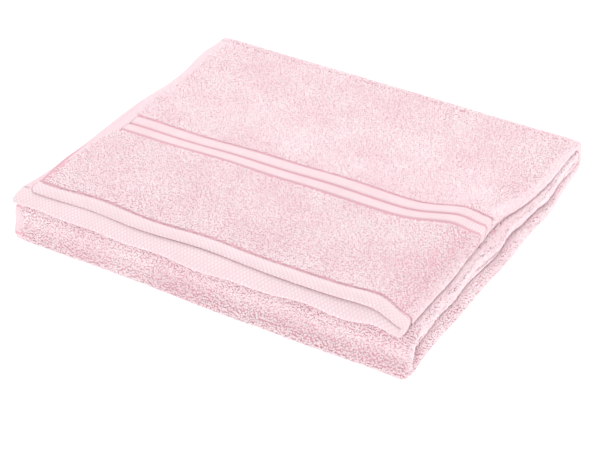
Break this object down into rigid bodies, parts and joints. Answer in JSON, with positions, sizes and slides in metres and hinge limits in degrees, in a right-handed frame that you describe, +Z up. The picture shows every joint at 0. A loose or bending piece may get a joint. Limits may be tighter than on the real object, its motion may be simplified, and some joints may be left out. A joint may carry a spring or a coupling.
{
  "type": "folded bath towel",
  "caption": "Terry bath towel with ribbed borders and turned hems, folded once across and rolled lengthwise into a flat stack whose top panel opens at the back.",
  "frame": {"origin": "under the middle of the folded stack, on the surface it lies on", "axes": "+X along the hems, from the selvedges to the side fold; +Y from the front, where the end hems show, to the back wrap; +Z up"},
  "size_m": [0.351, 0.322, 0.0547],
  "materials": {
    "terry": "looped cotton pile, pale pink, matte",
    "flat_weave": "flat woven cotton of the hems and the ribbed border, pale pink, slight sheen",
    "thread": "sewing thread"
  },
  "bodies": {
    "stack": {"bottom_panel_lower_leaf": "terry", "bottom_panel_lower_side_hem": "flat_weave", "bottom_panel_side_fold": "terry", "bottom_panel_upper_leaf": "terry", "bottom_panel_upper_side_hem": "flat_weave", "fourth_panel_lower_leaf": "terry", "fourth_panel_lower_side_hem": "flat_weave", "fourth_panel_side_fold": "terry", "fourth_panel_upper_leaf": "terry", "fourth_panel_upper_side_hem": "flat_weave", "front_wrap_inner_leaf": "terry", "front_wrap_inner_side_hem": "flat_weave", "front_wrap_outer_leaf": "terry", "front_wrap_outer_side_hem": "flat_weave", "front_wrap_side_fold": "terry", "inner_back_bend_inner_leaf": "terry", "inner_back_bend_inner_side_hem": "flat_weave", "inner_back_bend_outer_leaf": "terry", "inner_back_bend_outer_side_hem": "flat_weave", "inner_back_bend_side_fold": "terry", "third_panel_lower_leaf": "terry", "third_panel_lower_side_hem": "flat_weave", "third_panel_side_fold": "terry", "third_panel_upper_leaf": "terry", "third_panel_upper_side_hem": "flat_weave", "tucked_border_inner_leaf": "flat_weave", "tucked_border_inner_side_hem": "flat_weave", "tucked_border_outer_leaf": "flat_weave", "tucked_border_outer_side_hem": "flat_weave", "tucked_border_side_fold": "flat_weave", "tucked_end_hem_lower": "flat_weave", "tucked_end_hem_side_fold": "flat_weave", "tucked_end_hem_upper": "flat_weave", "tucked_panel_lower_leaf": "terry", "tucked_panel_lower_side_hem": "flat_weave", "tucked_panel_side_fold": "terry", "tucked_panel_upper_leaf": "terry", "tucked_panel_upper_side_hem": "flat_weave"},
    "spine": {"spine_inner_leaf": "terry", "spine_inner_side_hem": "flat_weave", "spine_outer_leaf": "terry", "spine_outer_side_hem": "flat_weave", "spine_side_fold": "terry"},
    "flap": {"flap_border_lower": "flat_weave", "flap_border_side_fold": "flat_weave", "flap_border_upper": "flat_weave", "flap_end_hem_lower": "flat_weave", "flap_end_hem_side_fold": "flat_weave", "flap_end_hem_upper": "flat_weave", "flap_front_terry_lower": "terry", "flap_front_terry_side_fold": "terry", "flap_front_terry_upper": "terry", "flap_hem_stitching_lower": "thread", "flap_hem_stitching_upper": "thread", "flap_main_terry_lower": "terry", "flap_main_terry_side_fold": "terry", "flap_main_terry_upper": "terry", "flap_side_hem_lower": "flat_weave", "flap_side_hem_upper": "flat_weave"}
  },
  "joints": [
    {"name": "spine_fold", "type": "hinge", "parent": "stack", "child": "spine", "pos_m": [0, 0.15462, 0.00683], "axis": [-1, 0, 0], "range_deg": [0, 90]},
    {"name": "flap_fold", "type": "hinge", "parent": "spine", "child": "flap", "pos_m": [0, 0.15462, 0.02967], "axis": [-1, 0, 0], "range_deg": [0, 82]}
  ]
}
